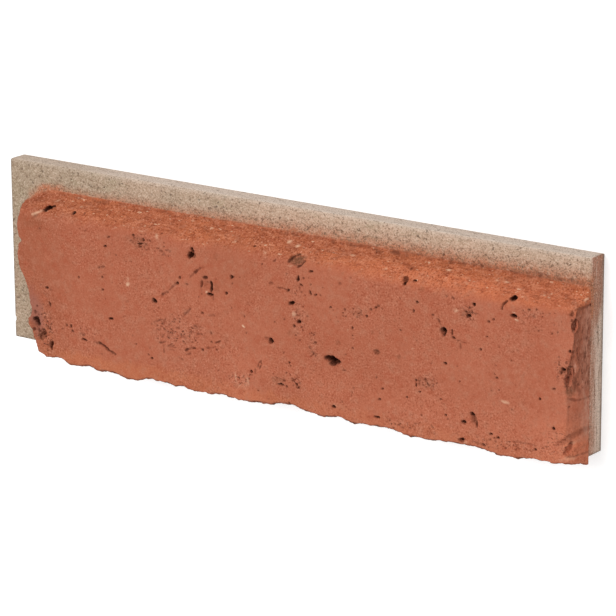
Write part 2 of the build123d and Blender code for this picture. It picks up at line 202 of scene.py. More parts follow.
# Patches of rough skin: x, y, length, width, strength, turn
ROUGH_PATCHES = (
    (-43, -17.5, 28, 17, 0.75, 12), (-59.5, 14.8, 12, 7, 0.9, 0),
    (-47, 12.6, 9, 4, 0.5, 0), (69, -17.5, 12, 6, 0.8, -6),
    (39, 3.5, 12, 7, 0.45, 20), (13, 1, 8, 24, 0.5, 12),
    (19.4, -13, 4, 14, 0.6, 8), (12.4, -26.6, 6, 7, 0.7, 0),
    (-13, -31, 13, 9, 0.8, 0), (-88, -24, 18, 7, 0.4, -10),
    (86, 11.5, 8, 6, 0.7, 0), (-72, 13, 12, 6, 0.3, 0),
    (122, -30, 16, 12, 0.6, 40), (124, -2, 8, 12, 0.6, 0),
    (-107.5, -27, 12, 20, 1.1, 8), (-106, -11, 8, 8, 0.45, 0),
    (101, -34, 42, 5, 0.6, 2), (12, 18.4, 8, 4.4, 0.9, 8),
    (110, 15, 12, 7, 0.4, 0), (60, -34.6, 30, 4, 0.45, 0),
)

# Clusters of small pores: x, y, length, width and how many
PORE_CLUSTERS = (
    (-59.5, 14.6, 11, 6, 16), (68.5, -17.5, 10, 5, 12), (38.5, 3.6, 5, 5, 8), (19.4, -12.5, 4, 15, 16),
    (-44, -16, 26, 16, 26), (13, 0, 8, 24, 18), (86.4, 11.4, 6, 5, 8), (-49, 12.8, 9, 4, 7),
    (118, 13, 12, 10, 9), (98, -34, 32, 4, 12), (12.2, -26.4, 5, 6, 12), (124, -3, 7, 8, 10),
    (-107, -26, 9, 16, 8), (8.6, -23, 3, 8, 8), (-88, -25, 20, 6, 8), (60, -35, 34, 4, 10),
    (112, 16, 10, 5, 6), (-13, -30, 12, 8, 8), (31, 1, 12, 6, 7),
)

# Grooves: width, depth, darkness of the painted shade in them, then the places that each runs through
GROOVES = (
    (0.9, 0.5, 0.58, ((-49.5, -4), (-48.2, -3.2), (-47, -2.4))),
    (0.7, 0.3, 0.45, ((-47, -2.4), (-45.4, -0.8), (-43.4, 0.8))),
    (1, 0.5, 0.72, ((-34, 7), (-32.8, 8), (-31.6, 9))),
    (0.6, 0.3, 0.35, ((-36.4, 4.8), (-34, 7))),
    (0.6, 0.3, 0.30, ((-31.6, 9), (-29.4, 9.8))),
    (0.5, 0.3, 0.40, ((-82.4, -27.4), (-81, -27.8), (-79.6, -27.7))),
    (1.2, 0.7, 0.80, ((-79.6, -27.7), (-78.2, -27.9), (-77.2, -28.5))),
    (0.9, 0.5, 0.70, ((-77.2, -28.5), (-75.8, -29.6), (-73.6, -30.2), (-72.4, -30.8))),
    (1, 0.7, 0.85, ((-38.6, -23.3), (-37, -22.5), (-34.6, -22.2))),
    (0.8, 0.5, 0.70, ((-25, -18.4), (-23.8, -17.8), (-22.6, -17.3))),
    (0.6, 0.3, 0.40, ((-28.8, -20.8), (-26.8, -20.8), (-25, -19.9))),
    (0.8, 0.7, 0.75, ((99.7, 14.8), (99.9, 16.4), (101.4, 17.8))),
    (0.7, 0.5, 0.60, ((73.5, 6.9), (74.2, 5.6), (75, 4.4))),
    (0.5, 0.4, 0.55, ((-5.6, -24.2), (-4.9, -22.6), (-4, -21.5), (-3.8, -23), (-4.6, -24.6))),
    (0.5, 0.3, 0.40, ((-6.6, -25.2), (-6.7, -26.8))),
    (0.8, 0.5, 0.55, ((-79.6, 1.8), (-78.4, 2.2), (-77, 2.6))),
    (0.8, 0.4, 0.50, ((-50.9, -22.6), (-49.6, -22.2), (-48.2, -21.8))),
    (0.5, 0.3, 0.45, ((-49, -23.2), (-49, -26))),
    (0.5, 0.25, 0.30, ((-46.8, -23.2), (-43.6, -23.4))), (0.5, 0.25, 0.28, ((-47, -24.4), (-44, -24.6))),
    (0.8, 0.4, 0.45, ((-53.6, -15.2), (-52.4, -14.8), (-50.8, -13.9))),
    (0.9, 0.4, 0.42, ((-39.4, -9.8), (-37.8, -8.8), (-36.6, -7.2))),
    (0.8, 0.4, 0.40, ((-43.6, -15.8), (-41.8, -15.4))), (0.7, 0.4, 0.38, ((-38.6, -25.2), (-36.8, -24.6))),
    (0.6, 0.3, 0.35, ((-42.4, -26.6), (-40.2, -27.5))), (0.6, 0.3, 0.32, ((-49.4, -14.6), (-47.6, -14))),
    (0.6, 0.4, 0.42, ((-31.5, 4), (-31.2, 1), (-31, -1))),
    (0.5, 0.3, 0.42, ((-25.8, 0.2), (-25.6, -2.2))),
    (0.8, 0.4, 0.52, ((3.6, 7.3), (5.8, 7.4), (8.2, 7))), (0.6, 0.3, 0.35, ((82.7, -0.4), (82.8, -2.6))),
    (0.5, 0.3, 0.32, ((81, 0.8), (83.4, 0.2), (85.2, 0.2))),
    (0.6, 0.3, 0.35, ((36.7, -26.4), (36.2, -28))), (0.7, 0.3, 0.30, ((-27.6, -8.3), (-25.4, -8.1))),
    (1, 0.6, 0.80, ((8.4, 17.6), (9.4, 19), (11.6, 20.2))),
    (1, 0.7, 0.85, ((12.8, 16.4), (14, 17), (15.2, 18.4))),
    (2.2, 0.9, 0.30, ((123, -29.9), (125.6, -28.2), (129.6, -24.8))),
    (1.4, 0.5, 0.14, ((127, -33.6), (130, -30.6))),
    (0.8, 0.3, 0.30, ((105, -32.2), (110, -31.8), (114, -32.2))),
    (0.9, 0.25, 0.22, ((126.3, 2.6), (126.8, 1), (126.2, -0.6))),
    (1.3, 0.6, 0.48, ((127.2, 16.8), (127.8, 18.4), (129, 19.2), (130, 19))),
    (1, 0.4, 0.40, ((126.4, -13), (128.2, -13.7), (130, -13.6))),
    (0.7, 0.3, 0.38, ((88, -35.2), (92, -35.8))), (0.8, 0.4, 0.45, ((126.4, -34), (130, -33.4))),
)

# Red dust that has run over the joint from the brick's foot: x, then where it starts up the
# slip and how far up it reaches
DUST_PLACES = ((-130, 22.5, 1.6), (-112, 23.8, 5), (-80, 25, 4.6), (-50, 24.6, 5.6), (-20, 24.8, 6.6),
               (5, 25.9, 6.8), (60, 26.2, 6.6), (110, 26.4, 6.8), (130, 26.4, 6.6))
# The painted shade in the crease along the brick's foot: x, its height up the slip, and how dark it is
FOOT_PLACES = ((-130, 23.8, 0), (-108, 24.4, 0.30), (-90, 24.8, 0.70), (-60, 25.1, 0.62), (-20, 25.4, 0.45),
               (5, 25.4, 0.65), (30, 25.4, 0.85), (80, 25.9, 1), (110, 26.1, 1), (130, 26.3, 0.9))
# Where the brick's worn top left corner ends: x, then its height up the slip
WORN_CORNER = ((-125, 17.4), (-119.5, 20.8), (-116.3, 22.8), (-112, 24.8), (-104, 28))

# Soft spots in the colour: the warm corner and the dust smear are the slip's own; the end,
# shoulder and middle spots are painted shade, the unlit spot is kept out of the painted light,
# and the chipped corner carries a painted highlight. Each is x, y, length, width, turn
EMBER_CORNER = (-106.5, -31.5, 11, 11, 0)
SHADED_END = (-112, -20, 9, 22, 8)
DIM_SHOULDER = (-111, 14.8, 18, 8, 0)
DIM_MIDDLE = (-18, 11, 34, 24, 0)
UNLIT_SPOT = (3, -32, 30, 16, 0)
DUST_SMEAR = (-110, 25.8, 19, 5.4, 9)
CHIPPED_CORNER = (127.4, -31, 7, 6, 30)

# Spans in which the masks change, from where that starts to where it is done. Up the slip:
SLOPE_UP = (16.5, 21.5)
BROKEN_UP = (-30, -25.5)
MAROON_LOW = (-14, -9)
MAROON_HIGH = (17, 21)
EMBER_END_UP = (-26, -20)
LIT_DOWN = (-15, -28)
SUNNY_LOW = (15, 20)
SUNNY_HIGH = (23.6, 21)
TOP_EDGE = (PLATE_TOP - 0.4, PLATE_TOP - 0.1)
TOP_MARGIN = (PLATE_TOP - 2.4, PLATE_TOP)
LOW_EDGE = (PLATE_BOTTOM + 0.8, PLATE_BOTTOM + 0.3)
STAIN_UP = (6, 22)
# Along the slip:
RIGHT_STRIP = (RIGHT_END - 8, RIGHT_END - 5)
BROKEN_ALONG = (124.2, 125.6)
LEFT_STRIP = (LEFT_END + 26, LEFT_END + 20)
EMBER_END = (RIGHT_END - 12, RIGHT_END - 4)
DIM_THIRD = (-86, -108)
DIM_RIM = (-107, -113)
LIT_ALONG = (-34, -14)
LIT_END = (98, 118)
SUNNY_END = (115, 124)
DUST_ALONG = (LEFT_END + 8, LEFT_END + 15)
PALER_ALONG = (-104, -70)
RIGHT_EDGE = (RIGHT_END - 0.4, RIGHT_END - 0.1)
END_FACE = (RIGHT_END - 0.5, RIGHT_END - 0.1)
LEFT_EDGE = (LEFT_END + 1.2, LEFT_END + 0.5)
# Out of the slip, from its back:
LIVE_LEVEL = (0.4, 1.4)
BRICK_LEVEL = (PLATE_FRONT + 0.05, PLATE_FRONT + 0.22)
FADED_LEVEL = (14.5, 9)
STAIN_LEVEL = (2.4, 7.6)
BACK_EDGE = (1.5, 0.5)
# Below and above the plate's bottom, past the worn corner, and in the noise of the drips:
HANG_BELOW = (0.3, 0.5)
EMBER_ABOVE = (0.5, 4.5)
WORN_OFF = (-0.5, 0.8)
DRIPPING = (-0.8, 0.1)
# How far a surface faces a side, where 1 is square to it:
FACING_RIGHT = (0.28, 0.50)
FACING_LEFT = (0.35, 0.75)
FACING_DOWN = (0.30, 0.75)
FACING_OUT = (0.25, 0.6)
PLATE_SIDE = (0.6, 0.9)
BRICK_SIDE = (0.62, 0.92)

# Spans of a scar, where 0 is its middle and 1 its rim: full at the first value, gone at the second
HOLE_WALL = (0.55, 1.08)
HOLE_GLOOM = (0.74, 1.10)
DIP_WALL = (0.2, 1.15)
DIP_STAIN = (0.5, 1.05)
SWELLING_RIM = (0.1, 1.15)
GROOVE_WALL = (0.3, 1.3)
MARK_RIM = (0.4, 1.2)
PATCH_RIM = (0.35, 1.1)

# Heights of the brick's relief, in millimetres
PUCKER = 0.15
DRAG = 0.26
TORN = 1.25
NIBBLE = 0.80

# Small pores: their least width strewn and in clusters, their most, and how dark the painted shade in them
# is
PORE_LEAST = 0.35
CLUSTER_LEAST = 0.30
PORE_MOST = 0.7
PORE_GLOOM = 0.55

# Noises of the finish: cells in a metre, or those along, up and out; then detail and roughness
NOISES = {
    "cloud": (30, 4, 0.55), "bloom": (120, 5, 0.65), "dusty": (330, 4, 0.6),
    "streaks": ((200, 560, 560), 4, 0.7), "flecks": ((380, 1000, 1000), 1, 0.55),
    "calm": (45, 2, 0.55), "grit": (1500, 3, 0.7), "fine grit": (1500, 4, 0.7),
    "crumbs": ((600, 900, 900), 2, 0.6), "cracks": ((330, 520, 520), 2, 0.55),
    "torn": ((500, 150, 500), 4, 0.7), "drawn": ((1100, 230, 1100), 3, 0.7),
    "tone": (45, 5, 0.6), "olive": ((60, 170, 170), 4, 0.65),
    "cast lines": ((900, 60, 900), 4, 0.7), "mottle": (380, 4, 0.65),
    "pits": ((620, 800, 800), 2, 0.5), "clusters": (160, 2, 0.55),
    "sand lines": ((450, 1200, 1200), 3, 0.7), "sand": (1800, 3, 0.7),
}

# Layers of the finish, from the bottom up: a colour, or one of the slip's own colours; the mask
# that holds the layer; the noise that breaks it up; where in that noise the layer starts and
# ends; and how strong it is at both
RED_LAYERS = (
    # The brighter orange of the top at the right, laid under the sunny mask, is a painted highlight
    ("slope", "slope"), ("ember", "ember"), ("slope_right", "sunny", "along", 0, 0.09),
    # The dark red on this line is painted shade, and the light red after it is painted light
    ((0.33, 0.098, 0.048), "dim"), ((0.60, 0.190, 0.105), "lit"),
    ((0.39, 0.110, 0.057), None, "cloud", 0.38, 0.62, 0, 0.35),
    ((0.54, 0.185, 0.105), None, "bloom", 0.50, 0.74, 0, 0.30),
    ((0.47, 0.190, 0.115), None, "dusty", 0.50, 0.68, 0, 0.40),
    ((0.40, 0.092, 0.044), None, "dusty", 0.48, 0.32, 0, 0.45),
    ((0.68, 0.26, 0.14), "slope", "streaks", 0.50, 0.68, 0, 0.60),
    ((0.25, 0.062, 0.026), "slope", "streaks", 0.50, 0.34, 0, 0.60),
    ("pale", "slope", "flecks", 0.69, 0.74, 0, 0.85),
    ((0.20, 0.036, 0.013), "coarse", "grit", 0.50, 0.28, 0, 0.72),
    ((0.76, 0.33, 0.22), "coarse", "grit", 0.52, 0.76, 0, 0.56),
    ((0.62, 0.26, 0.17), "rough", "grit", 0.42, 0.62, 0, 0.35),
    ((0.115, 0.034, 0.018), "rough", "crumbs", 0.44, 0.32, 0, 1.1),
    ((0.13, 0.036, 0.018), "cracked", "crack lines", 0.020, 0.006, 0, 0.80),
    ("broken", "broken", "torn", 0.38, 0.66, 1, 0.50),
    # The pale red on this line is partly pale residue and partly painted light near the plate
    ((0.56, 0.265, 0.18), "faded", "torn", 0.34, 0.60, 0.15, 1),
    ((0.15, 0.048, 0.028), "broken", "drawn", 0.50, 0.34, 0, 0.80),
    ((0.60, 0.30, 0.21), "broken", "drawn", 0.54, 0.72, 0, 0.70),
    # The dark red on this line is painted shade at the brick's lower left end; the olive brown after it is
    # the dips' own colour
    ((0.33, 0.125, 0.09), "bruise"), ("brown", "brown", "grit", 0.62, 0.40, 0.55, 1),
)
GREY_LAYERS = (
    ((0.40, 0.325, 0.205), None, "olive", 0.52, 0.66, 0, 0.40),
    ("rim", "rim"), ((0.82, 0.59, 0.46), "pale end"), ((0.47, 0.21, 0.135), "stain"),
    ((0.26, 0.125, 0.080), "plate_end", "cast lines", 0.50, 0.36, 0, 0.75),
    ((0.80, 0.68, 0.58), "plate_end", "cast lines", 0.52, 0.70, 0, 0.55),
    # The dark grey on this line is painted shade along the plate's edges
    ((0.17, 0.14, 0.115), "edge_dirt"),
    ((0.085, 0.060, 0.038), "sparse", "pits", 0.36, 0.29, 0, 0.80),
    ("dust", "dust", "mottle", 0.25, 0.60, 0.60, 1.25),
    ((0.22, 0.13, 0.08), "dusted", "sand lines", 0.50, 0.28, 0, 0.45),
    ((0.78, 0.62, 0.49), "clean", "sand lines", 0.54, 0.74, 0, 0.38),
    ((0.19, 0.115, 0.07), "dusted", "sand", 0.50, 0.28, 0, 0.85),
    ((0.82, 0.67, 0.53), "clean", "sand", 0.52, 0.74, 0, 0.75),
)
# The foot line, the underside's dark and the holes' dark are painted shade; the pale marks are scuffs and
# sand grains
SCAR_LAYERS = (
    ("foot", "foot", "mottle", 0.36, 0.58, 1, 0.30),
    ((0.10, 0.034, 0.020), "under", "mottle", 0.36, 0.58, 0.95, 0.35),
    ("pale", "pale"), ("hollow", "hollow"),
)

# Stage, in metres
FLOOR_SIZE = 6.0
LAMP_SIZE = 0.7
LAMP_PLACE = (-0.34, 0.52, 1.30)


class SlipSizes(bpy.types.PropertyGroup):
    """Sizes of the relief that the cast surface carries."""
    mesh_step: FloatProperty(
        name="Mesh step", description="Edge length of the mesh that the surface is modelled in",
        default=0.38 * MM, unit="LENGTH", precision=5)
    triangles: IntProperty(
        name="Triangles", description="Most triangles that the finished slip keeps", default=196000)
    rubbing: IntProperty(
        name="Rubbing", description="How often the brick's worn edges are rubbed down", default=26)
    grain: FloatProperty(
        name="Grain", description="Height of the sandy grain all over", default=0.06 * MM,
        unit="LENGTH", precision=5)
    swell: FloatProperty(
        name="Swell", description="Height of the soft lumps of the brick face",
        default=0.24 * MM, unit="LENGTH", precision=5)
    roughness: FloatProperty(
        name="Rough patches", description="Depth of the torn skin in the rough patches",
        default=0.65 * MM, unit="LENGTH", precision=5)
    pore_count: IntProperty(
        name="Pores", description="Small pores strewn over the brick face", default=110)
    joint_pores: IntProperty(
        name="Joint pores", description="Small pores strewn over the joint", default=130)


class SlipColours(bpy.types.PropertyGroup):
    """Colours of the cast concrete, and of the painted shade and painted highlight on it."""
    face: FloatVectorProperty(
        name="Brick face", description="Red of the brick face", subtype="COLOR",
        default=(0.452, 0.139, 0.076))
    slope: FloatVectorProperty(
        name="Brick top", description="Orange brown of the sloping top of the brick",
        subtype="COLOR", default=(0.515, 0.147, 0.060))
    face_right: FloatVectorProperty(
        name="Brick face, right", description="Lighter red at the face's right end",
        subtype="COLOR", default=(0.492, 0.154, 0.086))
    # Colour of a painted highlight: the lit upper edge of the brick's top at the right, and its chipped
    # lower right corner
    slope_right: FloatVectorProperty(
        name="Brick top, right", description="Brighter orange of the sloping top at the right",
        subtype="COLOR", default=(0.67, 0.190, 0.082))
    ember: FloatVectorProperty(
        name="Orange tint", description="Warm tint along the lower edge and the corners",
        subtype="COLOR", default=(0.53, 0.165, 0.075))
    broken: FloatVectorProperty(
        name="Broken end", description="Maroon of the broken end", subtype="COLOR",
        default=(0.335, 0.112, 0.064))
    # Colour of the painted shade in the crease along the brick's foot
    foot: FloatVectorProperty(
        name="Foot line", description="Dark dirt along the foot of the brick", subtype="COLOR",
        default=(0.17, 0.052, 0.026))
    dust: FloatVectorProperty(
        name="Red dust", description="Red dust that has run over the joint", subtype="COLOR",
        default=(0.50, 0.180, 0.092))
    # Colour of the painted shade in the blow holes, grooves, pores and torn bites
    hollow: FloatVectorProperty(
        name="Hollows", description="Dark of the blow holes", subtype="COLOR",
        default=(0.048, 0.010, 0.004))
    brown: FloatVectorProperty(
        name="Brown scars", description="Olive brown of the scraped dips", subtype="COLOR",
        default=(0.165, 0.068, 0.034))
    pale: FloatVectorProperty(
        name="Scuffs", description="Pale scuffs and sand grains", subtype="COLOR",
        default=(0.78, 0.47, 0.31))
    joint_left: FloatVectorProperty(
        name="Joint, left", description="Grey of the joint at the left end", subtype="COLOR",
        default=(0.425, 0.318, 0.224))
    joint_right: FloatVectorProperty(
        name="Joint, right", description="Warmer grey of the joint at the right", subtype="COLOR",
        default=(0.60, 0.404, 0.290))
    rim: FloatVectorProperty(
        name="Plate edges", description="Pale cement skin of the plate's edges", subtype="COLOR",
        default=(0.70, 0.570, 0.478))


class StageSettings(bpy.types.PropertyGroup):
    """Camera and lamps."""
    yaw: FloatProperty(
        name="Yaw", description="Turn of the camera round the upright slip",
        default=math.radians(35.94), subtype="ANGLE")
    pitch: FloatProperty(
        name="Pitch", description="How far the camera looks down on the upright slip",
        default=math.radians(15.87), subtype="ANGLE")
    roll: FloatProperty(
        name="Roll", description="Turn of the picture in its frame",
        default=math.radians(0.32), subtype="ANGLE")
    distance: FloatProperty(
        name="Distance", description="Camera to the middle of the plate's front face",
        default=1.2525, unit="LENGTH")
    aim_right: FloatProperty(
        name="Aim right", description="How far the slip stands right of the picture's middle",
        default=-8.58 * MM, unit="LENGTH", precision=5)
    aim_down: FloatProperty(
        name="Aim down", description="How far the slip stands below the picture's middle",
        default=-3.02 * MM, unit="LENGTH", precision=5)
    lens: FloatProperty(
        name="Lens", description="Focal length for a 36 mm sensor", default=201.18,
        unit="CAMERA")
    sky: FloatProperty(
        name="Sky", description="Strength of the even light from all round", default=0.74)
    key: FloatProperty(
        name="Key", description="Power of the large lamp above the brick's top", default=7)
    floor_glow: FloatProperty(
        name="Floor glow", description="How much the camera sees the floor whitened",
        default=0.45)


def smoothstep(low, high, values):
    """0 below the low end, 1 above the high end, and a smooth rise between."""
    share = np.clip((values - low) / (high - low), 0, 1)
    return share * share * (3.0 - 2.0 * share)


def lattice_noise(points, seed):
    """Smooth noise from -1 to 1; the points are given in cells of its lattice."""
    cell = np.floor(points).astype(np.int64)
    part = points - cell
    ease = part * part * part * (part * (part * 6.0 - 15) + 10)
    total = np.zeros(len(points))
    for corner in itertools.product((0, 1), repeat=3):
        at = cell + np.array(corner)
        key = at[:, 0] * 73856093 ^ at[:, 1] * 19349663 ^ at[:, 2] * 83492791 ^ seed * 50331653
        key = ((key ^ (key >> 15)) * 2246822519) & 0xFFFFFFFF
        key = ((key ^ (key >> 13)) * 3266489917) & 0xFFFFFFFF
        value = ((key >> 9) & 0xFFFF) / 32767.5 - 1.0
        weight = np.where(np.array(corner) == 1, ease, 1.0 - ease).prod(axis=1)
        total += value * weight
    return total


def layered_noise(points, cell, seed, layers=3, fall=0.5):
    """Noise at one cell size in millimetres, with finer and weaker layers on top."""
    total = np.zeros(len(points))
    height = 1.0
    whole = 0.0
    for layer in range(layers):
        total += height * lattice_noise(points / np.array(cell) * 2.0 ** layer, seed + layer)
        whole += height
        height *= fall
    return total / whole


def turned(points, degrees):
    """The points turned about Z, for grain that runs at an angle."""
    angle = math.radians(degrees)
    x, y, z = points.T
    return np.stack((x * math.cos(angle) + y * math.sin(angle),
                     y * math.cos(angle) - x * math.sin(angle), z), axis=1)


def oval(points, x, y, length, width, turn):
    """How far each point lies from an oval's middle: 1 is on its rim."""
    angle = math.radians(turn)
    across = points[:, 0] - x
    up = points[:, 1] - y
    along = across * math.cos(angle) + up * math.sin(angle)
    aside = up * math.cos(angle) - across * math.sin(angle)
    return np.hypot(along / (length / 2), aside / (width / 2))


def fade(span, reach):
    """1 up to the span's first value, 0 past its second, and a smooth fall between."""
    return 1.0 - smoothstep(*span, reach)


def spot(points, place, wander, core=0.3, rim=1.1):
    """1 in the core of an oval spot and 0 past its rim, which wanders."""
    return fade((core, rim), oval(points, *place) + wander)


def along_slip(places, x, column):
    """What one column of a table of places says for each x, evened out between the places."""
    table = np.array(places)
    return np.interp(x, table[:, 0], table[:, column])


def path_distance(points, places):
    """Distance in millimetres from a path across the face."""
    nearest = np.full(len(points), 1e9)
    flat = points[:, :2]
    for start, end in zip(places[:-1], places[1:]):
        start = np.array(start)
        run = np.array(end) - start
        share = np.clip(((flat - start) @ run) / (run @ run), 0, 1)
        nearest = np.minimum(nearest, np.linalg.norm(flat - start - share[:, None] * run, axis=1))
    return nearest


def read_points(mesh):
    flat = np.empty(len(mesh.vertices) * 3)
    mesh.vertices.foreach_get("co", flat)
    return flat.reshape(-1, 3) / MM


def write_points(mesh, points):
    mesh.vertices.foreach_set("co", (points * MM).ravel())
    mesh.update()


def read_normals(mesh):
    flat = np.empty(len(mesh.vertices) * 3)
    mesh.vertex_normals.foreach_get("vector", flat)
    return flat.reshape(-1, 3)


def store_mask(mesh, name, values):
    layer = mesh.attributes.get(name) or mesh.attributes.new(name, "FLOAT", "POINT")
    layer.data.foreach_set("value", np.clip(values, 0, 1).astype(np.float32))


def store_part(mesh, name, part, values):
    """Store a mask on a part of the points, and nothing on the others."""
    whole = np.zeros(len(mesh.vertices))
    whole[part] = values
    store_mask(mesh, name, whole)


def read_mask(mesh, name):
    values = np.empty(len(mesh.vertices), dtype=np.float32)
    mesh.attributes[name].data.foreach_get("value", values)
    return values.astype(float)


def keep_inside(points):
    """The cast surface never leaves the box of the solid."""
    return np.clip(points, np.array(CAD_BOX[0]) / MM, np.array(CAD_BOX[1]) / MM)


def select_only(piece):
    bpy.ops.object.select_all(action="DESELECT")
    piece.select_set(True)
    bpy.context.view_layer.objects.active = piece


def slip_piece():
    return bpy.data.objects["slip_cast"]


class SLIP_OT_body(bpy.types.Operator):
    """Copy the cast body, give it a fine even mesh, and rub down the brick's worn edges"""
    bl_idname = "slip.body"
    bl_label = "Cast body"

    def execute(self, context):
        sizes = context.scene.slip_sizes
        select_only(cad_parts["brick_slip"])
        bpy.ops.object.duplicate()
        piece = context.object
        piece.name = "slip_cast"
        piece.data.name = "slip_cast"
        bpy.ops.object.mode_set(mode="EDIT")
        bpy.ops.mesh.select_all(action="SELECT")
        bpy.ops.mesh.remove_doubles(threshold=0.001 * MM)
        bpy.ops.object.mode_set(mode="OBJECT")
        remesh = piece.modifiers.new("even mesh", "REMESH")
        remesh.mode = "VOXEL"
        remesh.voxel_size = sizes.mesh_step
        bpy.ops.object.modifier_apply(modifier=remesh.name)
        rub_down(piece, sizes.rubbing)
        mark_regions(piece.data)
        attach(piece, "root")
        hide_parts("brick_slip")
        return {"FINISHED"}


def rub_down(piece, repeats):
    """Smooth the brick's slope and sides, so that the steps between its levels go."""
    level_face = 0.93
    slope_start = 13.0
    edge_width = 1.5
    lower_part = 6.0
    lower_strength = 0.12
    x, y, z = read_points(piece.data).T
    leaning = (z > PLATE_FRONT - 0.6) & (read_normals(piece.data)[:, 2] < level_face)
    upper = (z > PLATE_FRONT + 0.1) & (y > slope_start)
    edges = (z < PLATE_FRONT) & (y > PLATE_TOP - edge_width)
    lower = y < PLATE_BOTTOM + lower_part
    worn = piece.vertex_groups.new(name="worn")
    worn.add(np.flatnonzero((leaning | upper) & ~edges & ~lower).tolist(), 1, "REPLACE")
    worn.add(np.flatnonzero(leaning & ~edges & lower).tolist(), lower_strength, "REPLACE")
    rub = piece.modifiers.new("rub down", "SMOOTH")
    rub.factor = 0.5
    rub.iterations = repeats
    rub.vertex_group = worn.name
    bpy.ops.object.modifier_apply(modifier=rub.name)
    piece.vertex_groups.clear()


def mark_regions(mesh):
    """Masks of the brick with its painted shade and light, the red dust over the joint with the painted
    shade along the brick's foot, and the plate's own edges.
    """
    points = read_points(mesh)
    normals = read_normals(mesh)
    wander = layered_noise(points, 3, 3, layers=3)
    drip = layered_noise(points, (1, 5, 2), 5, layers=2)
    streak = layered_noise(points, (1.6, 7, 1.2), 7, layers=3)
    brick = mark_brick(mesh, points, normals, wander, streak)
    mark_shades(mesh, points, wander, brick)
    mark_dust_and_foot_shade(mesh, points, wander, drip)
    mark_plate(mesh, points, normals, streak, brick)


def mark_brick(mesh, points, normals, wander, streak):
    """Masks of the brick, its slope, its broken ends, the pale strip by the plate that is partly painted
    light, and the painted shade on its underside.
    """
    x, y, z = points.T
    brick = np.maximum(smoothstep(*BRICK_LEVEL, z), smoothstep(*HANG_BELOW, PLATE_BOTTOM - y))
    brick = brick * fade(WORN_OFF, y + 0.5 * wander - along_slip(WORN_CORNER, x, 1))
    store_mask(mesh, "brick", brick)
    store_mask(mesh, "slope", smoothstep(*SLOPE_UP, y + 1.6 * wander) * brick)
    right = smoothstep(*FACING_RIGHT, normals[:, 0]) * smoothstep(*RIGHT_STRIP, x) * brick
    right = right * smoothstep(*BROKEN_UP, y + wander) * smoothstep(*BROKEN_ALONG, x + 0.5 * wander)
    left = smoothstep(*FACING_LEFT, -normals[:, 0]) * smoothstep(*LEFT_STRIP, x) * brick
    maroon = smoothstep(*MAROON_LOW, y + 2.5 * wander) * fade(MAROON_HIGH, y + wander)
    store_mask(mesh, "broken", np.maximum(right * (0.25 + 0.75 * maroon), 0.6 * left))
    # Pale residue on the right end near the plate, made lighter there as painted light against the shade
    # where end and plate meet
    near_plate = smoothstep(*FADED_LEVEL, z + 1.6 * streak)
    store_mask(mesh, "faded", right * near_plate * (1.0 - 0.25 * maroon) * (y < 19))
    # Painted shade on the brick's underside, where it faces down
    store_mask(mesh, "under", brick * smoothstep(*FACING_DOWN, -normals[:, 1]))
    return brick


def mark_shades(mesh, points, wander, brick):
    """Masks of the brick's broad soft patches: the warm tint, the painted shade at the lower left end, the
    painted soft shade, the painted light and the painted highlight.
    """
    x, y, z = points.T
    lower = fade(EMBER_ABOVE, y - PLATE_BOTTOM + 2.0 * wander)
    corner = spot(points, EMBER_CORNER, 0.3 * wander, core=0.5)
    low_end = smoothstep(*EMBER_END, x) * fade(EMBER_END_UP, y)
    store_mask(mesh, "ember", brick * np.maximum.reduce((0.7 * lower, 0.8 * corner, 0.7 * low_end)))
    # Painted shade over the brick's lower left end
    store_mask(mesh, "bruise", 0.65 * spot(points, SHADED_END, 0.35 * wander, core=0.4) * brick)
    # Painted shade over the left third and along the left rim, under the slope's shoulder, and softly in
    # the middle
    dims = (0.48 * smoothstep(*DIM_THIRD, x + 3.0 * wander), 0.60 * smoothstep(*DIM_RIM, x + wander),
            0.90 * spot(points, DIM_SHOULDER, 0.3 * wander, rim=1.2),
            0.30 * spot(points, DIM_MIDDLE, 0.3 * wander, rim=1.2))
    store_mask(mesh, "dim", brick * np.maximum.reduce(dims))
    # Painted light on the lower face, stronger towards the right end and kept off one spot below the middle
    lit = smoothstep(*LIT_DOWN, y + 2.0 * wander) * smoothstep(*LIT_ALONG, x + 3.0 * wander)
    lit = lit * (1.0 - spot(points, UNLIT_SPOT, 0.3 * wander, core=0.4, rim=1.3))
    store_mask(mesh, "lit", brick * lit * (0.42 + 0.25 * smoothstep(*LIT_END, x)))
    # A painted highlight along the brick's upper edge at the right, and on the chipped lower right corner
    sunny = smoothstep(*SUNNY_LOW, y + 1.6 * wander) * smoothstep(*SUNNY_HIGH, y + wander)
    sunny = sunny * (1.0 - 0.35 * smoothstep(*SUNNY_END, x))
    chipped = spot(points, CHIPPED_CORNER, 0.3 * wander, core=0.5)
    store_mask(mesh, "sunny", brick * np.maximum(sunny, chipped))


